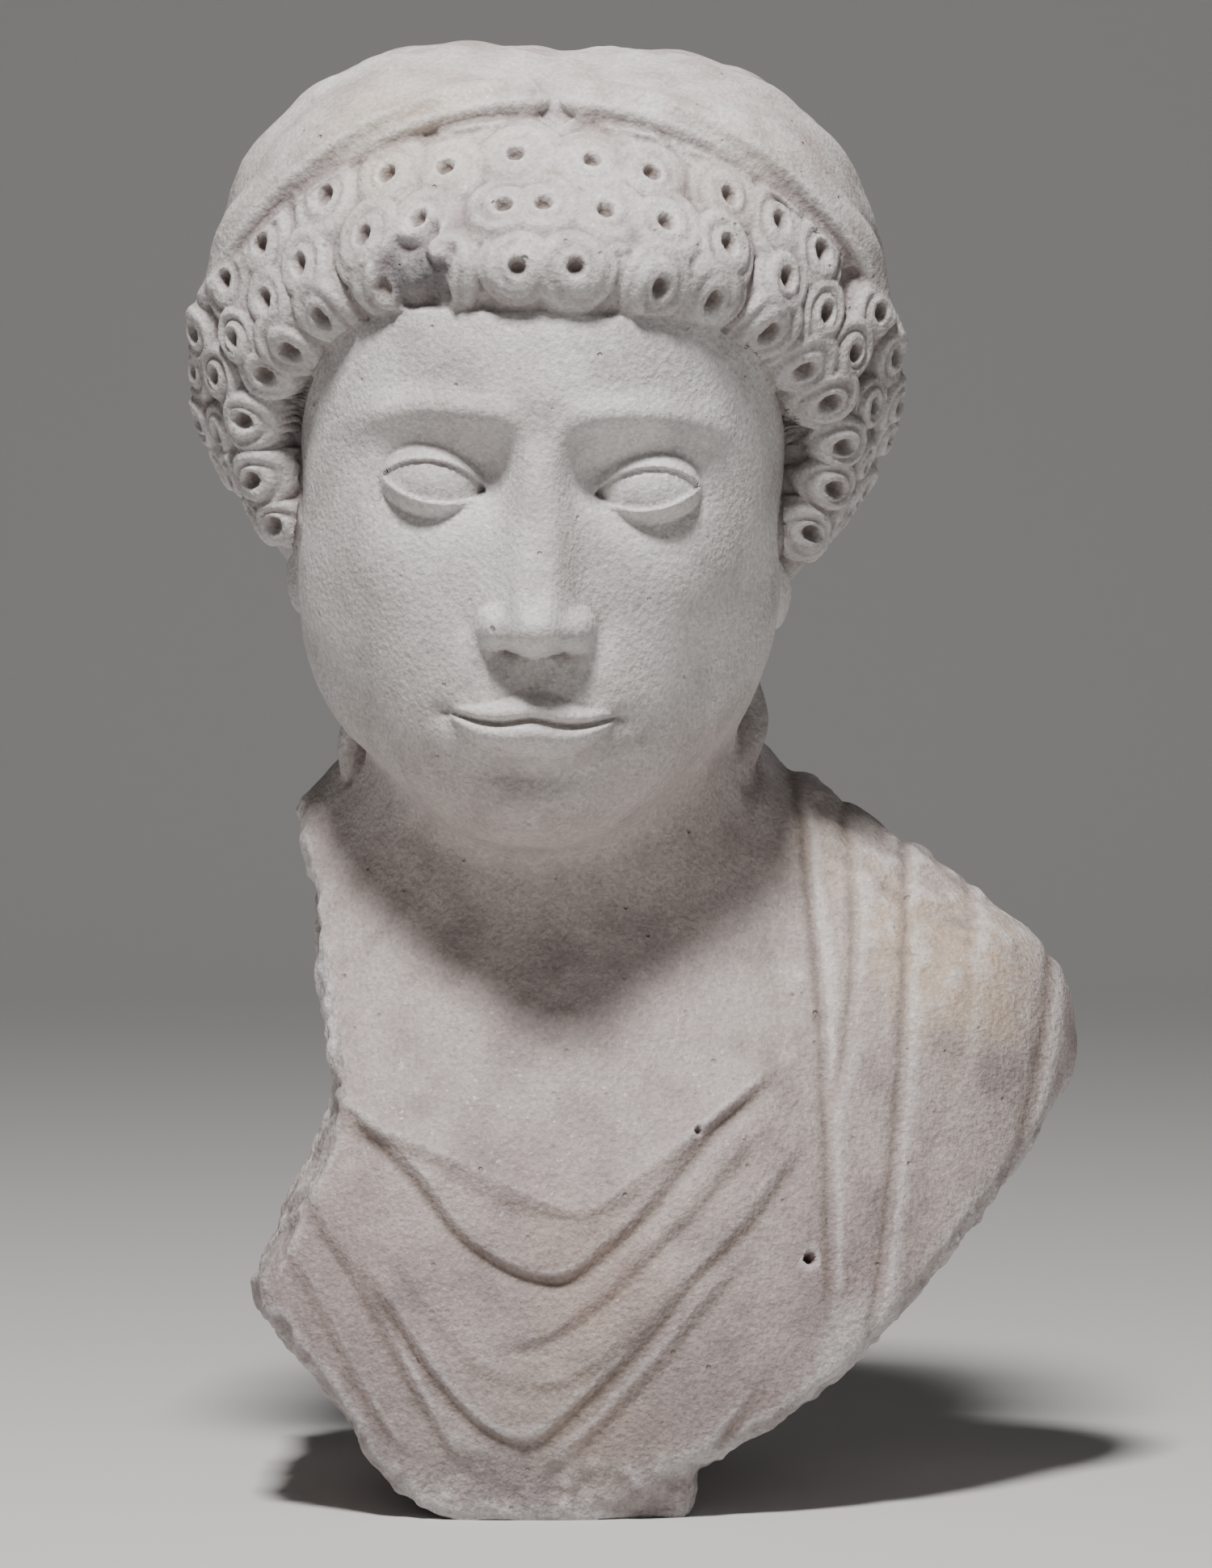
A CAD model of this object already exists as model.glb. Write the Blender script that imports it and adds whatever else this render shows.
# Marble bust of a woman: the looks.
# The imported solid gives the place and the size. The same stone is carved here again, fine enough for
# strands, eyelids and drill holes, and then it gets its marble, its dirt, its floor and its light.
import math
from concurrent.futures import ThreadPoolExecutor

import bpy
import numpy as np
from mathutils import Matrix, Vector


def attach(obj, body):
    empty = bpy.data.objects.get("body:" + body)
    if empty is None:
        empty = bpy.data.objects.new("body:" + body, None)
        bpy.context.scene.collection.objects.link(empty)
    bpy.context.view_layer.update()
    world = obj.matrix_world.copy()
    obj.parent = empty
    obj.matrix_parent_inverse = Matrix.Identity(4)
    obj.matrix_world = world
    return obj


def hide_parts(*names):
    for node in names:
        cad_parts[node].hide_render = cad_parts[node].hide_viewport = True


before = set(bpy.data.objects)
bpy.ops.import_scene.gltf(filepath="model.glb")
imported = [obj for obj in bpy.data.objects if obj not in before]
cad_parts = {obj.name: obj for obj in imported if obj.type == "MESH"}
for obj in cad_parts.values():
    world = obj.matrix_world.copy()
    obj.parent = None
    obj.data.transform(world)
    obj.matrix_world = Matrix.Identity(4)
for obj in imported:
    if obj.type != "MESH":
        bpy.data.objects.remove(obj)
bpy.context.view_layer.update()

# Everything on the head is in parts of its height: 214 parts from the chin to the top of the skull
head = dict(
    height=0.214,
    centre=(-0.003, 0.0, 0.302),  # between the eyes, as drawn: the underside is cut later
    pitch=math.radians(3.0),
    roll=math.radians(2.0),
    hairWidth=0.194,
    hairRise=0.122,
)
hair = dict(
    ringRise=5,  # axis of the curls and the band, above the middle of the head
    slope=0.48,  # of the plane behind the curls
    planeFront=5,  # how far that plane stands before the middle of the head, at the ring's height
    wreathEnd=math.radians(105),
    bandStart=0.10,  # half the gap of the band at the parting, in radians
    bandRadius=8.5,
    curlRows=4,
    curlWidth=0.0225,
    curlRelief=0.0043,
    drillWidth=0.0044,
    drillDepth=0.0034,
    knot=(0, 76, -52),
    knotSize=(31, 25, 27),
    # the two locks beside the neck: top, foot and radius
    locks=(((60, 22, -46), (58, 0, -108), 7.5), ((-55, 20, -46), (-50, 8, -90), 5.5)),
)
chest = dict(
    neckWidth=0.106,
    shoulderReach=0.152,
    frontDepth=0.082,
    backDepth=0.082,
    underside=0.006,
    footHeight=0.022,
)
# Corners of the broken outline seen from the front, clockwise from the shoulder: x and height
breaks = dict(
    shoulder=(0.153, 0.122),
    hem=(0.083, 0.044),
    stumpRight=(0.043, 0.0215),
    toe=(-0.029, 0.0062),
    stumpLeft=(-0.049, 0.0180),
    side=(-0.084, 0.070),
    notch=(-0.061, 0.118),
    armTop=(-0.074, 0.196),
)
part = head["height"] / 214
headTurn = np.array(Matrix.Rotation(head["roll"], 3, "Y") @ Matrix.Rotation(head["pitch"], 3, "X"))
headCentre = np.array(head["centre"])


def parts(*values):  # sizes in parts of the head, in metres
    return np.array(values) * part


def toHead(p):  # world points as the head sees them: less its centre, and turned back
    return (p - headCentre) @ headTurn


def rise(low, high, value):  # 0 below low, 1 above high, 3t^2 - 2t^3 between
    t = np.clip((value - low) / (high - low), 0.0, 1.0)
    return t * t * (3.0 - 2.0 * t)


def bump(value, width):  # bell curve exp(-(value/width)^2)
    return np.exp(-((value / width) ** 2))


def mound(x, z, centre, width):  # product of two bell curves in the front view
    return bump(x - centre[0], width[0]) * bump(z - centre[1], width[1])


def merge(a, b, blend):  # smooth minimum: the smaller, less (blend - |a - b|)^2 / (4 blend) near the seam
    t = np.maximum(blend - np.abs(a - b), 0.0) / blend
    return np.minimum(a, b) - t * t * blend / 4.0


def cut(a, b, blend):  # smooth maximum, the stone that is inside both
    return -merge(-a, -b, blend)


# Distance to an egg: (the power mean of |p|/radius, less one) over the length of its gradient
def egg(p, centre, radii, power=2.0):
    local = np.abs(p - centre) / radii
    size = np.maximum((local**power).sum(-1), 1e-9) ** (1.0 / power)
    slope = (local / size[..., None]) ** (power - 1.0) / radii
    return (size - 1.0) / np.maximum(np.linalg.norm(slope, axis=-1), 1e-9)


# Distance to a tapering round bar: to the nearest point of its axis, less the radius there
def limb(p, start, end, startRadius, endRadius):
    along = end - start
    t = np.clip((p - start) @ along / (along @ along), 0.0, 1.0)
    gap = np.linalg.norm(p - start - t[..., None] * along, axis=-1)
    return gap - (startRadius + t * (endRadius - startRadius))


# Smooth noise: random values at the corners of a lattice, blended by 3t^2 - 2t^3 in each direction
def latticeNoise(p, size, seed):
    table = np.random.default_rng(seed).uniform(-1.0, 1.0, (32, 32, 32))
    cell = p / size
    low = np.floor(cell).astype(int)
    t = cell - low
    t = t * t * (3.0 - 2.0 * t)
    total = np.zeros(p.shape[:-1])
    for corner in np.ndindex(2, 2, 2):
        weight = np.where(corner, t, 1.0 - t).prod(-1)
        i = (low + corner) % 32
        total += weight * table[i[..., 0], i[..., 1], i[..., 2]]
    return total


def twoSided(q):  # the same point on the right half
    return np.stack([np.abs(q[..., 0]), q[..., 1], q[..., 2]], -1)


# Plain block forms. Each gives a distance that is negative inside the stone


def skullForm(q):
    form = egg(q, parts(0, 4, 30), parts(75, 92, 78))
    form = merge(form, egg(q, parts(0, -24, -22), parts(66, 60, 60)), parts(24))
    form = merge(form, egg(q, parts(0, -43, -70), parts(40, 39, 36)), parts(34))
    return merge(form, egg(twoSided(q), parts(40, -8, -48), parts(21, 30, 28)), parts(30))


def wreathDepth(angle):  # half the thickness of the band of curls, thinner by the cheeks
    return 13.0 - 5.5 * rise(1.10, 1.90, np.abs(angle))


def ringAngle(q):  # how far round the face a point is, from the brow
    return np.arctan2(q[..., 0], q[..., 2] - hair["ringRise"] * part)


def onRing(radius, angle, y):  # a point of the circle round the face, from sizes in parts
    return np.stack([radius * np.sin(angle), y, hair["ringRise"] + radius * np.cos(angle)], -1) * part


# Both edges of the band of curls, at an angle round the face from the brow: the radius grows with
# sin^2 from the brow to the cheek, and the depth goes back with sin^3 by the face and with cos behind
def wreathLines(angle):
    side = np.where(np.abs(angle) > math.pi / 2, 1.0, np.abs(np.sin(angle)))
    depth = wreathDepth(angle)
    low = 43.5 + 30.5 * side**2 + depth - 4 * side - 4 * rise(1.4, 1.9, np.abs(angle))
    high = 98.0 + 8.5 * side**2 - 38.0 * np.maximum(np.abs(angle) - 1.10, 0.0) ** 1.3
    behind = 3.0 - hair["slope"] * high * np.cos(angle)
    return [onRing(low, angle, -76.0 + 54.0 * side**3), onRing(high - depth + 3, angle, behind)]


# Centre, outward axis and forward direction on the band, a distance up from its edge by the face
def wreathPlace(angle, distance):
    low, high = wreathLines(np.array(angle))
    length = np.linalg.norm(high - low)
    along = (high - low) / length
    ahead = wreathLines(np.array(angle + 0.01))[0] - wreathLines(np.array(angle - 0.01))[0]
    ahead /= np.linalg.norm(ahead)
    out = np.cross(ahead, along)
    out *= math.copysign(1.0, out[2] * math.cos(angle) + out[0] * math.sin(angle) - out[1])
    radius = wreathDepth(angle) * part
    past = distance - length if distance > length else min(distance, 0.0)
    axis = out * math.cos(past / radius) + along * math.sin(past / radius)
    return low + along * min(max(distance, 0.0), length) + axis * radius, axis, ahead


# Distance to the band: to the segment between its edges at this angle, less its half thickness
def wreathForm(q):
    angle = np.clip(ringAngle(q), -hair["wreathEnd"], hair["wreathEnd"])
    low, high = wreathLines(angle)
    along = high - low
    t = np.clip(((q - low) * along).sum(-1) / (along * along).sum(-1), 0.0, 1.0)
    return np.linalg.norm(q - low - t[..., None] * along, axis=-1) - wreathDepth(angle) * part


def behindWreath(q):  # distance behind the plane along the back of the curls
    tilt = math.atan(hair["slope"])
    up = q[..., 2] - hair["ringRise"] * part
    return (q[..., 1] + hair["planeFront"] * part) * math.cos(tilt) + up * math.sin(tilt)


# The combed cap: a squarish egg each side of the parting, cut off behind the curls
def capForm(q):
    centre = parts(26, 10, 50)
    height = np.where(q[..., 2] < centre[2], 108 * part, head["hairRise"] - centre[2])
    wide = np.full_like(height, head["hairWidth"] / 2) - centre[0]
    local = twoSided(q) - centre
    local[..., 0] = np.where(local[..., 0] < 0, local[..., 0] * 0.55, local[..., 0])
    form = egg(local, np.zeros(3), np.stack([wide, np.full_like(height, 94 * part), height], -1), 2.1)
    return cut(form, -behindWreath(q), 10 * part)


# The rolled band behind the curls: a ring carried round the face, open at the parting
def bandForm(q):
    angle = ringAngle(q)
    held = np.clip(np.abs(angle), hair["bandStart"], hair["wreathEnd"]) * np.sign(angle + 1e-9)
    radius = 101.0 + 8.5 * np.sin(np.minimum(np.abs(held), 0.95)) ** 2
    radius = radius - 36.0 * rise(0.85, 2.0, np.abs(held))
    line = onRing(radius, held, 2.5 - hair["slope"] * radius * np.cos(held))
    return np.linalg.norm(q - line, axis=-1) - hair["bandRadius"] * part


def earForm(q):
    return egg(twoSided(q), parts(68, 2, -33), parts(5.5, 9, 12))


def knotForm(q):
    return egg(q, parts(*hair["knot"]), parts(*hair["knotSize"]))


def lockForm(q):
    bars = (limb(q, parts(*top), parts(*foot), r * part, r * part) for top, foot, r in hair["locks"])
    return np.minimum(*bars)


def headForm(q):
    form = merge(skullForm(q), earForm(q), 3 * part)
    mass = merge(merge(capForm(q), bandForm(q), 3 * part), wreathForm(q), 3 * part)
    return merge(merge(form, mass, 1.5 * part), knotForm(q), 8 * part)


def beyond(p, start, end):  # distance past a straight break in the front view
    run = np.array(breaks[end]) - np.array(breaks[start])
    out = np.array([-run[1], run[0]]) / np.hypot(*run)
    return (p[..., 0] - breaks[start][0]) * out[0] + (p[..., 2] - breaks[start][1]) * out[1]


# Neck, chest and shoulders: merged bars and an egg, cut by the breaks, whose planes are pushed by noise
def chestForm(p):
    half = chest["neckWidth"] / 2
    neck = limb(p, np.array([0, 8 * part, 0.262]), np.array([0, 20 * part, 0.150]), half - 0.002, half)
    body = egg(p, np.array([0.0, 0.025, 0.018]), np.array([0.172, chest["frontDepth"] + 0.025, 0.166]))
    tip = chest["shoulderReach"] - 0.046
    draped = limb(p, np.array([0.046, 0.040, 0.192]), np.array([tip, 0.026, 0.134]), 0.030, 0.046)
    bare = limb(p, np.array([-0.046, 0.038, 0.189]), np.array([-tip, 0.026, 0.128]), 0.030, 0.044)
    body = merge(merge(merge(body, draped, 0.030), bare, 0.030), neck, 0.030)
    rough = 0.0016 * latticeNoise(p, 0.011, 5) + 0.0022 * latticeNoise(p, 0.030, 6)
    slab = cut(body, beyond(p, "shoulder", "hem") + rough, 0.007)
    slab = cut(slab, beyond(p, "hem", "stumpRight") + rough, 0.006)
    slab = cut(slab, beyond(p, "stumpLeft", "side") + rough, 0.006)
    notch = merge(beyond(p, "notch", "armTop"), beyond(p, "side", "notch"), 0.008)
    slab = cut(slab, notch + rough, 0.005)
    foot = cut(body + 0.004, p[..., 0] - breaks["stumpRight"][0] + 0.004 + rough, 0.005)
    foot = cut(foot, beyond(p, "stumpLeft", "side") + 0.003 + rough, 0.005)
    foot = cut(foot, p[..., 2] - chest["footHeight"] - 0.014, 0.004)
    slab = cut(merge(slab, foot, 0.004), beyond(p, "toe", "stumpLeft") + rough, 0.005)
    return cut(slab, p[..., 1] - chest["backDepth"] + 0.5 * rough, 0.012)


# The whole plain block, cut flat underneath. Points well above or below the neck skip the other half
def stoneForm(p):
    q = toHead(p)
    if p[..., 2].min() > 0.300:
        return headForm(q)
    form = chestForm(p)
    if p[..., 2].max() > 0.170:
        form = merge(merge(form, headForm(q), 0.010), lockForm(q), 0.002)
    return np.maximum(form, chest["underside"] - p[..., 2])


# Rays from the middle of the stone: where each starts, how it climbs in front and behind, how much more at
# the sides, where the shoulders slope, and its row
grid = dict(
    columns=760,
    rows=980,
    crowding=0.45,  # how much the columns crowd to the front
    coarse=4,
    coarseSteps=60,
    fineSteps=24,
    bands=16,
    triangles=192000,
    grooves=(7, 0.0005),  # averagings and reach of the hollows, narrow and broad
    basins=(60, 0.0030),
    flat=0.0003,  # points this near the underside lie on it
    stations=(
        (0.002, 0.060, -90.0, -90.0, 0.0, 0.0),
        (0.004, 0.060, -48.0, -38.0, 0.0, 0.06),
        (0.008, 0.078, -14.0, -10.0, 0.0, 0.13),
        (0.012, 0.150, -10.0, 0.0, 25.0, 0.28),
        (0.016, 0.212, -30.0, 4.0, 20.0, 0.38),
        (0.040, 0.275, -42.0, -12.0, 0.0, 0.44),
        (0.046, 0.302, -47.0, -30.0, 0.0, 0.475),
        (0.046, 0.302, 90.0, 90.0, 0.0, 1.0),
    ),
)


# Start and direction of each ray: the stations are interpolated up the rows. The climb goes from its front
# value to its back value with the cosine of the angle round the bust, and the sides add their sin^2
def rays(columns, rows):
    startY, startZ, front, back, aside, place = np.array(grid["stations"]).T
    v = np.linspace(0.0, 1.0, rows)[1:-1, None]
    around = np.linspace(-math.pi, math.pi, columns, endpoint=False)[None, :]
    around = around - grid["crowding"] * np.sin(around)
    ahead, behind = np.interp(v, place, front), np.interp(v, place, back)
    climb = (ahead + behind) / 2 - (behind - ahead) / 2 * np.cos(around)
    climb = np.radians(climb + np.interp(v, place, aside) * np.sin(around) ** 2)
    way = np.stack([np.sin(around) * np.cos(climb), -np.cos(around) * np.cos(climb), np.sin(climb)], -1)
    inHead = rise(0.42, 0.55, v)[..., None]
    way = way * (1.0 - inHead) + way @ headTurn.T * inHead
    start = np.stack([0 * v, np.interp(v, place, startY), np.interp(v, place, startZ)], -1)
    return np.broadcast_to(start, way.shape), way / np.linalg.norm(way, axis=-1, keepdims=True)


def inBands(work, *arrays):  # the same work on bands of rows at once, on every core
    bands = np.array_split(np.arange(len(arrays[0])), grid["bands"])
    with ThreadPoolExecutor(4) as pool:
        done = list(pool.map(lambda band: work(*(a[band] for a in arrays)), bands))
    return np.concatenate(done)


def march(start, way, length, steps):  # each ray goes on by 0.9 of its distance to the surface
    for _ in range(steps):
        length = length - 0.9 * stoneForm(start + way * length[..., None])
    return length


# Block surface on the fine grid: a coarse grid is marched in full, the least of each 3 by 3 is kept,
# and its bilinear values start the fine march a little inside the stone
def blockSurface(columns, rows):
    start, way = rays(columns, rows)
    step = grid["coarse"]
    picked = np.unique(np.append(np.arange(0, len(start), step), len(start) - 1))
    rough = start[picked, ::step], way[picked, ::step]
    full = grid["coarseSteps"]
    coarse = inBands(lambda s, w: march(s, w, np.zeros(s.shape[:2]), full), *rough)
    low = np.minimum(coarse, np.minimum(np.roll(coarse, 1, 1), np.roll(coarse, -1, 1)))
    padded = np.pad(low, ((1, 1), (0, 0)), mode="edge")
    low = np.minimum(low, np.minimum(padded[:-2], padded[2:]))
    u = np.arange(columns) / step
    left = u.astype(int) % low.shape[1]
    right = (left + 1) % low.shape[1]
    across = low[:, left] * (1 - u % 1) + low[:, right] * (u % 1)
    v = np.interp(np.arange(len(start)), picked, np.arange(len(picked)))
    under = np.minimum(v.astype(int), len(picked) - 2)
    share = (v - under)[:, None]
    length = across[under] * (1 - share) + across[under + 1] * share - 0.001
    length = inBands(lambda s, w, l: march(s, w, l, grid["fineSteps"]), start, way, length)
    ends = []
    for i, z in ((0, -1.0), (-1, 1.0)):
        reached = march(start[i, :1], np.array([[0, 0, z]]), np.zeros(1), full)[0]
        ends.append(start[i, 0] + [0, 0, z * reached])
    return start + way * length[..., None], np.array(ends)


def outward(p, reach=0.0006):  # unit gradient by central differences
    steps = [stoneForm(p + axis * reach) - stoneForm(p - axis * reach) for axis in np.eye(3)]
    normal = np.stack(steps, -1)
    return normal / np.maximum(np.linalg.norm(normal, axis=-1, keepdims=True), 1e-9)


# The face is the builder's own: five eyes wide, eyes halfway up, brow, nose and chin on the thirds
face = dict(
    brow=19.0,
    noseBase=-44.0,
    mouth=-65.0,
    mouthHalf=24.0,
    eye=30.0,
    eyeHalf=14.8,
    ball=15.5,
    lid=2.0,
)


# How far the features stand forward, in parts: a sum of mounds for sockets, brow, cheeks, mouth and chin
def faceRelief(q):
    x, z = np.abs(q[..., 0]) / part, q[..., 2] / part
    relief = -6.5 * mound(x, z, (29.5, 2), (17, 11)) - 5.5 * mound(x, z, (14, 5), (7, 10))
    arch = face["brow"] + 3.0 - 0.0075 * (x - 27) ** 2
    relief += 3.0 * bump(z - arch, 5.0) * rise(2, 14, x) * (1 - rise(42, 60, x))
    relief += 2.0 * mound(x, z, (0, 24), (13, 10)) + 1.5 * mound(x, z, (26, 44), (16, 14))
    relief += 3.2 * mound(x, z, (43, -26), (20, 16)) + 4.5 * mound(x, z, (0, -64), (27, 20))
    relief += 5.0 * mound(x, z, (0, -96), (19, 12)) - 3.6 * mound(x, z, (0, -80), (17, 5.5))
    return relief + noseRelief(x, z) + lipRelief(x, z)


# Nose: a ridge 1/(1 + (x/w)^4) that rises and widens downwards, with a tip, two wings and two nostrils.
# Ridge and wing join as (a^3 + b^3)^(1/3)
def noseRelief(x, z):
    base = face["noseBase"]
    down = np.clip((16.0 - z) / (16.0 - base), 0.0, 1.0)
    height = (3.0 + 14.5 * down**1.15) * rise(24, 6, z)
    half = 8.0 + 2.5 * down**2
    ridge = height / (1.0 + (x / half) ** 4) * (1 - rise(1.0, 2.2, x / half))
    under = np.clip((base + 9.0 - z) / (12.5 - 0.25 * np.minimum(x, 8.0)), 0.0, 1.0)
    ridge = ridge * np.sqrt(1.0 - under**2)
    wing = np.clip(1.0 - ((x - 11.0) / 6.4) ** 2 - ((z - base - 5.5) / 7.6) ** 2, 0.0, 1.0)
    sides = np.cbrt(np.maximum(ridge, 0.0) ** 3 + (9.5 * wing**0.8) ** 3)
    tip = 2.2 * mound(x, z, (0, base + 7), (7, 7))
    crease = 1.2 * bump(x - 19.5, 2.6) * bump(z - base - 5.0, 7.0)
    nostril = 3.2 * mound(x, z, (7.0, base - 1.0), (3.4, 2.2))
    return sides + tip - crease - nostril


# Lips: two lens shapes whose height falls off to the corners, with a line cut between them
def lipRelief(x, z):
    half, mouth = face["mouthHalf"], face["mouth"]
    across = np.clip(1.0 - (x / half) ** 2, 0.0, 1.0)
    line = mouth + 0.8 * bump(x, 5) - 0.8 * bump(x - 11, 7) + 1.2 * rise(14, 26, x)
    above, below = z - line, line - z
    top = (7.0 - 1.2 * bump(x, 2.6) - 1.0 * rise(3, 20, x)) * across**0.7 + 0.3
    foot = 10.0 * across**0.8 + 0.3
    upper = 4.2 * across**0.5 * np.clip(1 - (above / top - 0.35) ** 2 / 0.55, 0, 1) * (above > -1.5)
    lower = 5.4 * across**0.6 * np.clip(1 - (below / foot - 0.42) ** 2 / 0.45, 0, 1) * (below > -1.5)
    slit = 2.4 * bump(z - line, 1.1) * (1 - rise(half - 3, half + 4, x))
    corner = 1.6 * mound(x, z, (half + 1.5, mouth), (4.0, 3.5))
    philtrum = 1.1 * bump(x, 2.6) * bump(z - mouth - 13, 5.0)
    return np.maximum(upper, lower) - slit - corner - philtrum


# Eyes: a ball between two lids that are shells a little larger than it, sunk into the socket
def carveEyes(q, forward):
    x, z = np.abs(q[..., 0]) / part, q[..., 2] / part
    u = x - face["eye"]
    across = np.clip(1 - (u / face["eyeHalf"]) ** 2, 0.0, 1.0)
    top, foot = 6.9 * across**0.75 + 0.10 * u, -4.6 * across**0.9 + 0.10 * u
    opened = np.minimum(top - z, z - foot)
    reach = np.sqrt(np.maximum(face["ball"] ** 2 - u**2 - (1.15 * z) ** 2, 1.0))
    heart = 66.0 - 0.10 * u
    eyeball = heart + reach
    lids = eyeball + face["lid"] * (1.0 - 0.55 * rise(0, 4.5, -opened)) - 12.0 * rise(4.0, 9.5, -opened)
    seam = np.maximum(2.2 - np.abs(forward - lids), 0.0) / 2.2
    covered = np.maximum(forward, lids) + seam * seam * 0.55
    inside = rise(-0.35, 0.45, opened) * rise(0.8, -0.8, np.abs(u) - face["eyeHalf"])
    return covered * (1.0 - inside) + eyeball * inside


# Every snail curl, row by row up the band: centre, axis, direction, radius, height and hand
def curlRows():
    chance = np.random.default_rng(11)
    curls = []
    for row in range(hair["curlRows"]):
        first, second = (wreathPlace(a, row * hair["curlWidth"])[0] for a in (0.0, 0.1))
        rate = np.linalg.norm(second - first) / 0.1
        angle = 0.0 if row % 2 else 0.47 * hair["curlWidth"] / rate
        places = []
        while angle < hair["wreathEnd"] + 0.05:
            width = hair["curlWidth"] * (1.0 - 0.20 * rise(0.5, 1.5, angle))
            places.append((angle, width))
            spot = wreathPlace(angle, row * width)[0]
            angle += 0.0186 * width / np.linalg.norm(wreathPlace(angle + 0.02, row * width)[0] - spot)
        for side in (1, -1):
            for place, width in places:
                if (side < 0 and place == 0.0) or (row == hair["curlRows"] - 1 and place < 0.2):
                    continue
                spot = side * place + chance.uniform(-0.035, 0.035)
                lift = 0.86 * row - 0.38 + chance.uniform(-0.07, 0.07)
                lift = max(lift * width, -0.85 * wreathDepth(spot) * part)
                centre, axis, ahead = wreathPlace(spot, lift)
                radius = 0.5 * width * chance.uniform(1.02, 1.28)
                height = hair["curlRelief"] * (0.60 + 0.45 * rise(0.4, 1.5, place))
                height *= chance.uniform(0.85, 1.15)
                curls.append((centre, axis, ahead, radius, height, side, chance.uniform(-3, 3)))
    return curls


# Curls: a dome sqrt(1 - r^2.2) with a dimple, the groove of one coil winding in, which is
# cos(2.3 pi r - turn / 2)^4, and a drilled eye. It also gives how drilled each point is
def curlRelief(q):
    relief = np.full(q.shape[:-1], -0.4 * hair["curlRelief"])
    drilled = np.zeros(q.shape[:-1])
    for centre, axis, ahead, radius, height, hand, spin in curlRows():
        near = np.linalg.norm(q - centre, axis=-1) < 1.25 * radius
        local = q[near] - centre
        a, b = local @ ahead, local @ np.cross(axis, ahead)
        out = np.sqrt(a * a + b * b) / radius
        turn = np.arctan2(b, a) * hand
        edge = 1.0 + 0.08 * np.cos(turn - 0.9 + spin)
        dome = np.sqrt(np.clip(1.0 - np.clip(out / edge, 0, 1.2) ** 2.2, 0.0, 1.0))
        coil = np.cos(math.pi * 2.3 * out - (turn + spin) / 2) ** 4
        dimple = 0.40 * bump(out, 0.36) + 0.28 * coil * rise(0.28, 0.42, out) * (dome > 0.3)
        lift = height * (1.5 * dome - 0.4 - dimple)
        relief[near] = np.maximum(relief[near], lift)
        hole = np.clip(1.0 - (out * radius / (0.62 * hair["drillWidth"])) ** 3, 0.0, 1.0)
        drilled[near] = np.maximum(drilled[near], hole)
    return relief - hair["drillDepth"] * drilled, drilled


def combPhase(q):  # the angle of a strand round the nape, times how many there are, swayed by a sine
    x, y, z = np.moveaxis(q / part, -1, 0)
    behind = behindWreath(q) / part
    around = np.arctan2(x, 0.62 * (z + 60) + 0.4 * (y - 40))
    return 34.0 * around + 2.2 * np.sin(behind / 9.0)


# Combed cap: steps cos(behind / 6.5) across and strands cos(phase) along, both growing behind the band
def combRelief(q):
    behind = behindWreath(q) / part
    swell = np.cos(behind / 6.5) * rise(22.0, 34.0, behind)
    strands = np.cos(combPhase(q)) * rise(20.0, 34.0, behind)
    return (0.9 * swell + 0.5 * strands) * part


def bandRelief(q):  # strands along the roll: cos of the distance from the ring's axis, swayed by the angle
    out = np.hypot(q[..., 0], q[..., 2] - hair["ringRise"] * part) / part
    return 0.45 * part * np.cos(0.95 * out - 3.5 * np.cos(ringAngle(q)))


def plaitRelief(q):  # a spiral with slanting strands
    x, z = q[..., 0] / part - hair["knot"][0], q[..., 2] / part - hair["knot"][2]
    out, turn = np.sqrt(x * x + z * z), np.arctan2(z, x)
    spiral = np.cos(2 * math.pi * (out / 13.0 - turn / (2 * math.pi)))
    return (1.6 * spiral + 0.6 * np.cos(14 * turn + out / 2.2)) * part


def lockRelief(q):  # a two-start screw along each lock
    relief = np.zeros(q.shape[:-1])
    for top, foot, radius in hair["locks"]:
        top, foot = parts(*top), parts(*foot)
        along = (foot - top) / np.linalg.norm(foot - top)
        length = (q - top) @ along
        away = q - top - length[..., None] * along
        turn = np.arctan2(away[..., 1], away[..., 0])
        twist = 0.23 * radius * part * np.cos(2 * turn + length / (0.6 * radius * part))
        relief = np.where(q[..., 0] * top[0] > 0, twist, relief)
    return relief


# Folds. On the chest each is a rounded V: its lowest point, then for the left and the right arm the slope
# and how round it is, then how far it reaches, its height and the width of its slope. On the shoulder each
# hangs down: its x at the top, the middle and the bottom, the heights of its ends, its height and width
def chestFold(low, slopes, rounding, reach, height, width):
    return dict(low=low, slopes=slopes, rounding=rounding, reach=reach, height=height, width=width)


def shoulderFold(line, reach, height, width):
    return dict(line=line, reach=reach, height=height, width=width)


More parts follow.
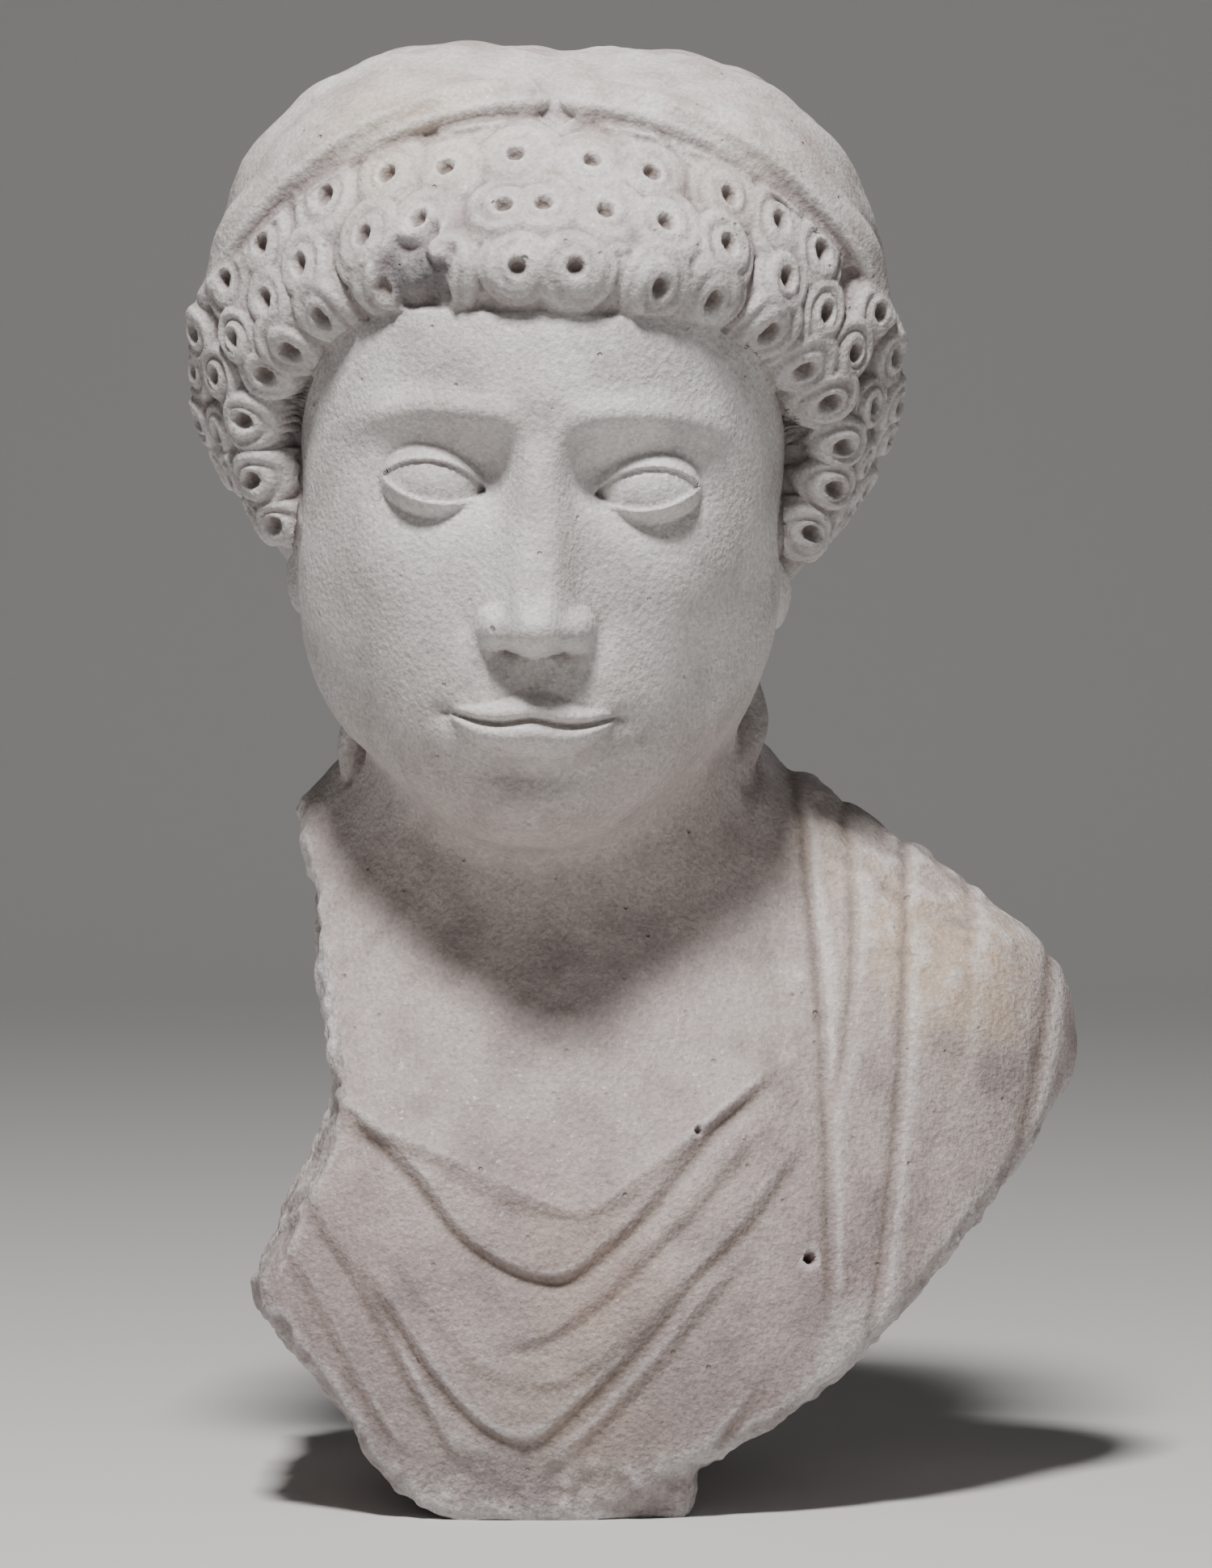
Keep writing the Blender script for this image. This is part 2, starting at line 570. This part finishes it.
cloth = dict(
    thickness=0.0010,
    collar=(0.0085, 0.0925, 0.44, 0.72),  # lowest point, slope to the left and to the right
    chest=(
        chestFold((0.0085, 0.0925), (0.44, 0.80), (0.010, 0.010), (-0.066, 0.070), 0.0008, 0.010),
        chestFold((0.0010, 0.0738), (1.15, 1.05), (0.030, 0.009), (-0.064, 0.066), 0.0018, 0.016),
        chestFold((-0.008, 0.0545), (0.20, 0.98), (0.010, 0.010), (-0.016, 0.064), 0.0010, 0.012),
        chestFold((-0.002, 0.0410), (1.30, 1.08), (0.030, 0.012), (-0.050, 0.040), 0.0005, 0.008),
        chestFold((-0.006, 0.0268), (1.45, 1.15), (0.030, 0.008), (-0.056, 0.074), 0.0014, 0.017),
        chestFold((-0.014, 0.0100), (1.75, 1.10), (0.014, 0.010), (-0.076, 0.056), 0.0010, 0.013),
        chestFold((-0.040, 0.0240), (1.80, 1.30), (0.010, 0.010), (-0.080, -0.036), 0.0007, 0.009),
        chestFold((0.020, -0.0040), (1.40, 1.42), (0.010, 0.010), (0.024, 0.062), 0.0011, 0.011),
    ),
    shoulder=(
        shoulderFold((0.0690, 0.0765, 0.0780), (0.066, 0.222), 0.0013, 0.014),
        shoulderFold((0.0830, 0.0862, 0.0800), (0.120, 0.212), 0.0009, 0.010),
        shoulderFold((0.1020, 0.0990, 0.0890), (0.052, 0.200), 0.0012, 0.018),
        shoulderFold((0.1210, 0.1180, 0.1060), (0.100, 0.186), 0.0004, 0.009),
        shoulderFold((0.1450, 0.1415, 0.1340), (0.105, 0.170), 0.0012, 0.008),
    ),
)


# Across a fold: a quick rise out of a narrow groove, then exp(-distance / width)
def foldProfile(away, fold):
    ridge = rise(-0.0020, 0.0040, away) * np.exp(-np.maximum(away - 0.003, 0) / fold["width"])
    return fold["height"] * (ridge - 0.25 * bump(away + 0.0006, 0.0030) - 0.50 * bump(away, 0.0016))


def creaseOf(away, fold, held):  # dirt lies in the bottom of the groove, more in a deep one
    return held * bump(away + 0.0004, 0.0013) * min(1.0, fold["height"] / 0.0016)


# A chest fold's line is sqrt((slope x)^2 + rounding^2) above its lowest point, swayed by noise
def chestFolds(p, x, z):
    relief, crease = np.zeros_like(x), np.zeros_like(x)
    sway = 0.0030 * latticeNoise(p, 0.022, 21)
    for fold in cloth["chest"]:
        run = x - fold["low"][0]
        slope = np.where(run < 0, *fold["slopes"])
        rounding = np.where(run < 0, *fold["rounding"])
        arm = np.sqrt((slope * run) ** 2 + rounding**2) - rounding
        tilt = slope * np.tanh(np.abs(run) / rounding)
        away = (z - fold["low"][1] - arm + sway) / np.sqrt(1 + tilt**2)
        left, right = fold["reach"]
        held = rise(left - 0.004, left + 0.014, x) * rise(right + 0.004, right - 0.014, x)
        relief += foldProfile(away, fold) * held
        crease = np.maximum(crease, creaseOf(away, fold, held))
    return relief, crease


# A shoulder fold's line is the parabola through its three places
def shoulderFolds(x, z):
    relief, crease = np.zeros_like(x), np.zeros_like(x)
    for fold in cloth["shoulder"]:
        top, middle, bottom = fold["line"]
        low, high = fold["reach"]
        t = (high - z) / (high - low)
        line = top + (4 * middle - 3 * top - bottom) * t + 2 * (top + bottom - 2 * middle) * t**2
        held = rise(low - 0.008, low + 0.008, z) * rise(high + 0.006, high - 0.006, z)
        relief += foldProfile(x - line, fold) * held
        crease = np.maximum(crease, creaseOf(x - line, fold, held))
    return relief, crease


def inFront(p):  # the carved drapery ends on the sides of the chest
    return rise(0.030, 0.000, p[..., 1] - 0.35 * (p[..., 2] - 0.10))


def clothCover(p):  # 1 below the collar and outside the line of the shoulder folds
    x, z = p[..., 0], p[..., 2]
    inner = 0.070 + 0.008 * np.sin(np.clip((z - 0.07) / 0.13, 0, 1) * math.pi)
    run = x - cloth["collar"][0]
    edge = cloth["collar"][1] + np.where(run < 0, *cloth["collar"][2:]) * np.abs(run)
    return np.maximum(rise(0.0015, -0.0025, z - edge), rise(-0.003, 0.003, x - inner)), inner


def clothRelief(p):
    x, z = p[..., 0], p[..., 2]
    covered, inner = clothCover(p)
    beside = rise(0.008, -0.012, x - inner)
    chestRelief, chestCrease = chestFolds(p, x, z)
    fallRelief, fallCrease = shoulderFolds(x, z)
    held = rise(0.0, 0.014, z) * inFront(p)
    relief = cloth["thickness"] * covered + chestRelief * beside + fallRelief
    return relief * held, np.maximum(chestCrease * beside, fallCrease) * held


# Wear. Holes are x, height, radius and depth in the front view, and the chip took a piece off the curls
wear = dict(
    holes=((0.0730, 0.0785, 0.0018, 0.0048), (0.0410, 0.1137, 0.0011, 0.0028)),
    chipAngle=-0.59,  # round the face from the brow
    chipRise=-0.008,
    chipRadius=0.0130,
)


def leastOf(*forms):
    return np.minimum.reduce(forms)


# How broken the stone is: 0 on the carved skin, 1 from 1 mm inside a break, and 1 round the foot, up to an
# edge that noise moves
def brokenFace(p):
    runs = (("shoulder", "hem"), ("hem", "stumpRight"), ("toe", "stumpLeft"), ("stumpLeft", "side"))
    ends = [beyond(p, *run) for run in runs]
    ends.append(merge(beyond(p, "notch", "armTop"), beyond(p, "side", "notch"), 0.008))
    low = rise(0.030, 0.018, p[..., 2] + 0.006 * latticeNoise(p, 0.018, 39))
    return np.maximum(rise(-0.0045, -0.0010, np.maximum.reduce(ends)), low)


# Worn stone: the breaks have broad planes of noise, ridges 1 - 2|n| and grit, the top of the shoulder is
# knobbly, and soft noise of two sizes is everywhere, a fifth as strong on the face
def wornRelief(p, normal, broken, onFace):
    ridged = 1.0 - 2.0 * np.abs(latticeNoise(p, 0.0085, 31))
    hackly = 0.0016 * latticeNoise(p, 0.0210, 30) + 0.0009 * ridged + 0.0008 * latticeNoise(p, 0.0034, 32)
    soft = 0.00022 * latticeNoise(p, 0.0042, 33) + 0.00030 * latticeNoise(p, 0.012, 34)
    upper = rise(0.35, 0.80, normal[..., 2]) * rise(0.055, 0.070, p[..., 0]) * rise(0.235, 0.220, p[..., 2])
    knobs = 0.0016 * latticeNoise(p, 0.0090, 36) + 0.0007 * latticeNoise(p, 0.0040, 37)
    return hackly * broken + soft * (1.0 - 0.8 * onFace) + knobs * upper


def drilledHoles(p):
    depth = np.zeros(p.shape[:-1])
    for x, z, radius, deep in wear["holes"]:
        away = np.hypot(p[..., 0] - x, p[..., 2] - z) / radius
        depth = np.maximum(depth, deep * np.clip(1.0 - away**3, 0.0, 1.0) * (p[..., 1] < 0.0))
    return depth


# The masks that the marble reads, one attribute each
maskNames = ("cloth", "hair", "drilled", "broken", "face", "crease")


# Block points moved out by the carving that belongs to the nearest form. Where two forms meet, both fade.
# Columns of the result: the point, then each mask
def carve(p):
    normal = outward(p)
    q = toHead(p)
    body, cap, wreath, band = chestForm(p), capForm(q), wreathForm(q), bandForm(q)
    skull, lock, knot = skullForm(q), lockForm(q), knotForm(q)
    near = 2.5 * part
    onWreath = rise(near, 0.0, wreath - leastOf(skull, band, cap, body, lock, knot))
    onCap = rise(near, 0.0, cap - leastOf(skull, band, wreath, body, lock, knot)) * (1 - onWreath)
    onBand = rise(near, 0.0, band - leastOf(skull, cap, wreath))
    onLock = rise(near, 0.0, lock - leastOf(skull, body, cap, wreath))
    onKnot = rise(near, 0.0, knot - leastOf(body, cap))
    onBody = rise(near, 0.0, body - leastOf(skull, lock, cap, wreath))
    onHead = rise(6 * part, 0.0, skull - leastOf(body, cap, wreath))
    onFace = onHead * rise(-18 * part, -38 * part, q[..., 1]) * rise(-112 * part, -98 * part, q[..., 2])
    broken = onBody * brokenFace(p)
    curls, drilled = curlRelief(q)
    chip = wreathPlace(wear["chipAngle"], wear["chipRise"])[0]
    ragged = 0.45 * latticeNoise(p, 0.0065, 38)
    chipped = rise(1.15, 0.80, np.linalg.norm(q - chip, axis=-1) / wear["chipRadius"] + ragged)
    curls = curls * (1 - chipped) + chipped * (-0.0022 + 0.0014 * latticeNoise(p, 0.0050, 35))
    relief = onWreath * curls + onCap * combRelief(q) + onLock * lockRelief(q) + onKnot * plaitRelief(q)
    clothed, crease = clothRelief(p)
    pierced = drilledHoles(p)
    relief += onBand * bandRelief(q) + onBody * (clothed * (1 - broken) - pierced)
    relief += wornRelief(p, normal, broken, onFace)
    relief *= rise(chest["underside"], chest["underside"] + 0.004, p[..., 2])
    moved = q + (normal * relief[..., None]) @ headTurn
    forward = -moved[..., 1] / part + faceRelief(q) * onFace
    eyes = rise(50 * part, 44 * part, np.abs(q[..., 0]))
    eyes = eyes * rise(22 * part, 16 * part, np.abs(q[..., 2])) * onFace
    moved[..., 1] = -part * (forward * (1 - eyes) + carveEyes(q, forward) * eyes)
    onHair = np.maximum.reduce([onWreath, onCap, onLock, onKnot, onBand])
    holes = np.maximum(drilled * onWreath * (1 - chipped), pierced / 0.003)
    covered = onBody * clothCover(p)[0] * inFront(p)
    worn = np.maximum(broken, chipped * onWreath)
    masks = np.stack([covered, onHair, holes, worn, onFace, crease * onBody * (1 - broken)], -1)
    return np.concatenate([moved @ headTurn.T + headCentre, masks], -1)


# How hollow each point of the grid is: the points are averaged 1 2 1 with their neighbours a number of
# times, and the shift along the normal, over a reach, goes from -1 on an edge to 1 in a groove
def hollows(points, times, reach):
    smooth = points
    for _ in range(times):
        smooth = (np.roll(smooth, 1, 1) + np.roll(smooth, -1, 1) + 2 * smooth) / 4
        padded = np.pad(smooth, ((1, 1), (0, 0), (0, 0)), mode="edge")
        smooth = (padded[:-2] + padded[2:] + 2 * smooth) / 4
    normal = np.cross(np.roll(points, -1, 1) - np.roll(points, 1, 1), np.gradient(points, axis=0))
    normal /= np.maximum(np.linalg.norm(normal, axis=-1, keepdims=True), 1e-12)
    return np.clip(((smooth - points) * normal).sum(-1) / reach, -1.0, 1.0)


# Quads between the rows of the grid, and a fan of triangles round a pole at each end
def ringFaces(columns, rows):
    place = np.arange(rows * columns).reshape(rows, columns)
    beside = np.roll(place, -1, axis=1)
    quads = np.stack([place[:-1], beside[:-1], beside[1:], place[1:]], -1).reshape(-1, 4)
    under = np.stack([np.full(columns, rows * columns), beside[0], place[0]], -1)
    over = np.stack([place[-1], beside[-1], np.full(columns, rows * columns + 1)], -1)
    return quads, np.concatenate([under, over])


def meshOf(name, points, quads, triangles):  # whole arrays straight into a mesh
    mesh = bpy.data.meshes.new(name)
    mesh.vertices.add(len(points))
    mesh.vertices.foreach_set("co", points.astype(np.float32).ravel())
    corners = np.concatenate([quads.ravel(), triangles.ravel()])
    sizes = np.concatenate([np.full(len(quads), 4), np.full(len(triangles), 3)])
    mesh.loops.add(len(corners))
    mesh.loops.foreach_set("vertex_index", corners.astype(np.int32))
    mesh.polygons.add(len(sizes))
    mesh.polygons.foreach_set("loop_start", (np.cumsum(sizes) - sizes).astype(np.int32))
    mesh.update(calc_edges=True)
    mesh.validate()
    return mesh


def addAttribute(mesh, name, values):  # one number a point
    mesh.attributes.new(name, "FLOAT", "POINT").data.foreach_set("value", values.astype(np.float32))


def carvedBust():
    block, poles = blockSurface(grid["columns"], grid["rows"])
    print("block surface", block.shape)
    carved = inBands(carve, block)
    ends = carve(poles)
    print("carved", carved.shape)
    fine = hollows(carved[..., :3], *grid["grooves"])
    broad = hollows(carved[..., :3], *grid["basins"])
    everything = np.concatenate([carved.reshape(-1, carved.shape[-1]), ends])
    points = everything[:, :3]
    points[:, 2] -= chest["underside"]
    points[np.abs(points[:, 2]) < grid["flat"], 2] = 0.0
    mesh = meshOf("carvedMarble", points, *ringFaces(grid["columns"], len(carved)))
    for i, name in enumerate(maskNames):
        addAttribute(mesh, name, everything[:, 3 + i])
    addAttribute(mesh, "groove", np.append(fine.ravel(), (0.0, 0.0)))
    addAttribute(mesh, "hollow", np.append(broad.ravel(), (0.0, 0.0)))
    print("hollows", fine.std(), broad.std())
    bust = bpy.data.objects.new("carved_marble", mesh)
    bpy.context.scene.collection.objects.link(bust)
    return bust


# Fewer triangles where the stone is plain: Decimate, applied
def thinOut(bust):
    thin = bust.modifiers.new("thin", "DECIMATE")
    thin.ratio = min(1.0, grid["triangles"] / sum(len(p.vertices) - 2 for p in bust.data.polygons))
    graph = bpy.context.evaluated_depsgraph_get()
    done = bust.evaluated_get(graph)
    mesh = bpy.data.meshes.new_from_object(done, preserve_all_data_layers=True, depsgraph=graph)
    bust.modifiers.clear()
    bust.data = mesh
    mesh.shade_smooth()
    print("thinned to", len(mesh.polygons), "faces")


# A socket that can be written into a formula: each operator adds one Math node
class Value:
    def __init__(self, nodes, socket):
        self.nodes, self.socket = nodes, socket

    def math(self, operation, *others):
        return self.nodes.add("ShaderNodeMath", dict(operation=operation), (self,) + others)

    def __add__(self, other):
        return self.math("ADD", other)

    def __sub__(self, other):
        return self.math("SUBTRACT", other)

    def __rsub__(self, other):
        return self.nodes.add("ShaderNodeMath", dict(operation="SUBTRACT"), (other, self))

    def __mul__(self, other):
        return self.math("MULTIPLY", other)

    __radd__ = __add__
    __rmul__ = __mul__

    def between(self, low, high):  # 0 at low, 1 at high, smooth
        limits = {"Value": self, "From Min": low, "From Max": high}
        return self.nodes.add("ShaderNodeMapRange", dict(interpolation_type="SMOOTHSTEP"), limits)


class Nodes:
    def __init__(self, material):
        material.use_nodes = True
        self.tree = material.node_tree
        self.shader = self.tree.nodes["Principled BSDF"]
        self.place = self.add("ShaderNodeTexCoord", {}, {}, "Object")

    # Any node: its type, its settings, the values or links of its inputs, and which output is meant
    def add(self, kind, settings, inputs, output=0):
        node = self.tree.nodes.new(kind)
        for name, value in settings.items():
            setattr(node, name, value)
        for name, value in inputs.items() if isinstance(inputs, dict) else enumerate(inputs):
            self.put(node.inputs[name], value)
        return Value(self, node.outputs[output])

    def put(self, socket, value):
        if isinstance(value, Value):
            self.tree.links.new(value.socket, socket)
        else:
            socket.default_value = value

    def noise(self, size, detail=3.0, shift=0.0):
        place = self.add("ShaderNodeVectorMath", dict(operation="ADD"), (self.place, (shift, shift, shift)))
        return self.add("ShaderNodeTexNoise", {}, {"Vector": place, "Scale": 1.0 / size, "Detail": detail})

    def crystals(self, size):  # one chance number for each grain of the stone
        return self.add("ShaderNodeTexVoronoi", {}, {"Vector": self.place, "Scale": 1.0 / size}, "Color")

    def mix(self, factor, a, b):
        settings = dict(data_type="RGBA", clamp_factor=True)
        return self.add("ShaderNodeMix", settings, {0: factor, 6: a, 7: b}, 2)

    def attribute(self, name):
        return self.add("ShaderNodeAttribute", dict(attribute_name=name), {}, "Fac")

    # Round patch about a point, with an edge eaten by noise
    def patch(self, centre, radius, edge):
        away = self.add("ShaderNodeVectorMath", dict(operation="DISTANCE"), (self.place, centre), "Value")
        return (away * (1.0 / radius) + edge * 1.1 - 0.55).between(1.1, 0.35)

    # Small pits: a share of the cells of this size have one, where the cell's own distance is least
    def pits(self, size, share, radius):
        away = self.add("ShaderNodeTexVoronoi", {}, {"Vector": self.place, "Scale": 1.0 / size}, "Distance")
        chance = Value(self, away.socket.node.outputs["Color"])
        return away.between(radius, 0.3 * radius) * chance.math("LESS_THAN", share)


look = dict(
    stone=(0.57, 0.53, 0.512, 1.0),
    white=(0.74, 0.715, 0.70, 1.0),
    warm=(0.49, 0.40, 0.365, 1.0),
    rose=(0.37, 0.288, 0.280, 1.0),
    ochre=(0.53, 0.40, 0.28, 1.0),
    cool=(0.46, 0.455, 0.47, 1.0),
    dusk=(0.27, 0.222, 0.217, 1.0),
    slate=(0.14, 0.14, 0.15, 1.0),
    grime=(0.135, 0.098, 0.070, 1.0),
)


# Weathered marble: white and grey clouds, then warm and rosy patina by region, stains, washed edges, fresh
# breaks, the dirt in pits, grooves and drill holes, and last a lighter or darker tone for each crystal
def marbleMaterial():
    material = bpy.data.materials.new("weatheredMarble")
    n = Nodes(material)
    cloud, drift = n.noise(0.045, 4.0), n.noise(0.016, 4.0, 3.0)
    speck, crystal = n.noise(0.0017, 4.0), n.crystals(0.0010)
    cloth, hairy, drilled = n.attribute("cloth"), n.attribute("hair"), n.attribute("drilled")
    broken, faced, crease = n.attribute("broken"), n.attribute("face"), n.attribute("crease")
    groove, hollow = n.attribute("groove"), n.attribute("hollow")
    height = n.add("ShaderNodeSeparateXYZ", {}, (n.place,), "Z")
    colour = n.mix(cloud.between(0.30, 0.70), look["stone"], look["white"])
    colour = n.mix(drift.between(0.45, 0.80) * 0.35, colour, look["cool"])
    low = height.between(0.24, 0.07)
    lowered = cloth * 0.08 + height.between(0.26, 0.18) * 0.60
    colour = n.mix(lowered * (0.5 + 0.9 * drift), colour, look["warm"])
    colour = n.mix((0.35 + 0.65 * cloud.between(0.35, 0.62)) * low * 0.85, colour, look["rose"])
    colour = n.mix(drift.between(0.44, 0.72) * (0.20 + 0.40 * low + 0.20 * hairy), colour, look["dusk"])
    onTop = hairy * drift.between(0.35, 0.70) * (0.15 + 0.45 * height.between(0.34, 0.41))
    colour = n.mix(onTop, colour, look["warm"])
    stains = (
        ((0.118, -0.020, 0.160), 0.040, "ochre", 0.65),
        ((0.085, -0.010, 0.190), 0.026, "ochre", 0.45),
        ((-0.045, -0.060, 0.400), 0.035, "ochre", 0.35),
        ((0.060, -0.070, 0.385), 0.026, "ochre", 0.30),
        ((-0.075, -0.050, 0.055), 0.026, "dusk", 0.55),
        ((0.030, -0.080, 0.195), 0.024, "warm", 0.30),
        ((0.085, -0.060, 0.045), 0.020, "white", 0.50),
        ((0.008, -0.080, 0.030), 0.028, "ochre", 0.20),
        ((0.012, -0.080, 0.070), 0.024, "ochre", 0.22),
    )
    colour = n.mix(height.between(0.07, 0.0) * (0.35 + 0.50 * cloud), colour, look["dusk"])
    colour = n.mix(hairy * height.between(0.40, 0.35) * (0.10 + 0.40 * drift), colour, look["dusk"])
    for centre, radius, tint, strength in stains:
        colour = n.mix(n.patch(centre, radius, drift) * strength, colour, look[tint])
    edges = (groove * -1.0).between(0.10, 0.80)
    colour = n.mix(edges * 0.45, colour, look["white"])
    fresh = n.patch((-0.070, -0.010, 0.150), 0.060, drift)
    colour = n.mix(broken * (0.20 + 0.75 * fresh), colour, look["white"])
    colour = n.mix(broken * (1 - fresh) * drift.between(0.40, 0.65) * 0.55, colour, look["dusk"])
    colour = n.mix(broken * hairy * drift.between(0.20, 0.55) * 0.70, colour, look["slate"])
    small, large = n.pits(0.0034, 0.16, 0.26), n.pits(0.0085, 0.12, 0.16)
    pitted = (small * (0.35 + 0.65 * drift.between(0.40, 0.65)) + large).math("MINIMUM", 1.0)
    dirt = groove.between(0.15, 0.95) * (0.45 + 0.5 * drift) + hollow.between(-0.20, 0.80) * 0.75 * hairy
    dirt = (dirt + pitted * 0.55 + speck.between(0.60, 0.80) * 0.10).math("MINIMUM", 1.0)
    colour = n.mix(dirt * (1.0 - 0.45 * faced) * 0.75, colour, look["dusk"])
    colour = n.mix(crease * (0.45 + 0.45 * drift), colour, look["grime"])
    colour = n.mix(drilled * 0.45, colour, look["grime"])
    tone = 0.70 + 0.34 * crystal + 0.26 * speck - 0.09 * low - 0.07 * hairy * height.between(0.40, 0.34)
    grain = n.add("ShaderNodeHueSaturation", {}, {"Value": tone, "Color": colour})
    n.put(n.shader.inputs["Base Color"], grain)
    glint = crystal.math("GREATER_THAN", 0.88) * (1 - dirt)
    n.put(n.shader.inputs["Roughness"], 0.52 + 0.12 * speck + 0.10 * dirt - 0.30 * glint)
    rough = 0.95 + 0.35 * cloth + 0.35 * broken
    relief = speck * rough * 0.80 + crystal * 0.24 - pitted * 0.9
    bumped = n.add("ShaderNodeBump", {}, {"Strength": 1.0, "Distance": 0.0008, "Height": relief})
    n.put(n.shader.inputs["Normal"], bumped)
    n.shader.inputs["Specular IOR Level"].default_value = 0.35
    return material


view = dict(azimuth=0.0, elevation=3.0, distance=2.6, tall=0.456, aim=(0.0153, 0.0, 0.2044))
lamps = dict(  # place, size, power and colour of each soft light
    key=((-0.14, -0.74, 1.66), 0.26, 47.0, (1.0, 0.985, 0.97)),
    fill=((1.5, -0.5, 0.80), 1.0, 1.4, (0.95, 0.97, 1.0)),
)
lampAim = Vector((0, 0, 0.25))  # what both lights point at


def studio():
    aim = Vector(view["aim"])
    up, turn = math.radians(view["elevation"]), math.radians(view["azimuth"])
    back = Vector((math.sin(turn) * math.cos(up), -math.cos(turn) * math.cos(up), math.sin(up)))
    camera = bpy.data.objects.new("camera", bpy.data.cameras.new("camera"))
    camera.data.sensor_fit = "VERTICAL"
    camera.data.sensor_height = 24.0
    camera.data.lens = 24.0 * view["distance"] / view["tall"]
    camera.location = aim + back * view["distance"]
    camera.rotation_euler = back.to_track_quat("Z", "Y").to_euler()
    bpy.context.scene.collection.objects.link(camera)
    bpy.context.scene.camera = camera
    for name, (place, size, power, colour) in lamps.items():
        light = bpy.data.objects.new(name, bpy.data.lights.new(name, "AREA"))
        light.data.size, light.data.energy, light.data.color = size, power, colour
        light.location = Vector(place)
        light.rotation_euler = (Vector(place) - lampAim).to_track_quat("Z", "Y").to_euler()
        bpy.context.scene.collection.objects.link(light)
    world = bpy.data.worlds.new("studio")
    world.use_nodes = True
    sky = world.node_tree.nodes["Background"]
    sky.inputs["Color"].default_value = (0.5, 0.51, 0.53, 1.0)
    sky.inputs["Strength"].default_value = 0.07
    bpy.context.scene.world = world


sweep = dict(front=-2.5, back=1.8, radius=1.2, tall=3.2, half=8.0, steps=48)


# Floor: flat, then a quarter circle up into a wall far behind
def floorSweep():
    s = np.linspace(0, 1, sweep["steps"] + 1)
    turn = np.clip((s - 0.3) / 0.4, 0, 1) * math.pi / 2
    y = sweep["front"] + np.clip(s / 0.3, 0, 1) * (sweep["back"] - sweep["front"])
    y = y + sweep["radius"] * np.sin(turn)
    z = sweep["radius"] * (1 - np.cos(turn)) + np.clip((s - 0.7) / 0.3, 0, 1) * sweep["tall"]
    x = np.array([-sweep["half"], sweep["half"]])
    points = np.stack([np.tile(x, len(s)), np.repeat(y, 2), np.repeat(z, 2)], -1)
    i = np.arange(sweep["steps"]) * 2
    quads = np.stack([i, i + 1, i + 3, i + 2], -1)
    floor = bpy.data.objects.new("floor", meshOf("floor", points, quads, np.zeros((0, 3), int)))
    floor.data.shade_smooth()
    bpy.context.scene.collection.objects.link(floor)
    material = bpy.data.materials.new("paleFloor")
    material.use_nodes = True
    shader = material.node_tree.nodes["Principled BSDF"]
    shader.inputs["Base Color"].default_value = (0.62, 0.61, 0.60, 1.0)
    shader.inputs["Roughness"].default_value = 0.8
    floor.data.materials.append(material)


bust = carvedBust()
thinOut(bust)
bust.data.materials.append(marbleMaterial())
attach(bust, "root")
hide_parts("marble_bust")
studio()
floorSweep()
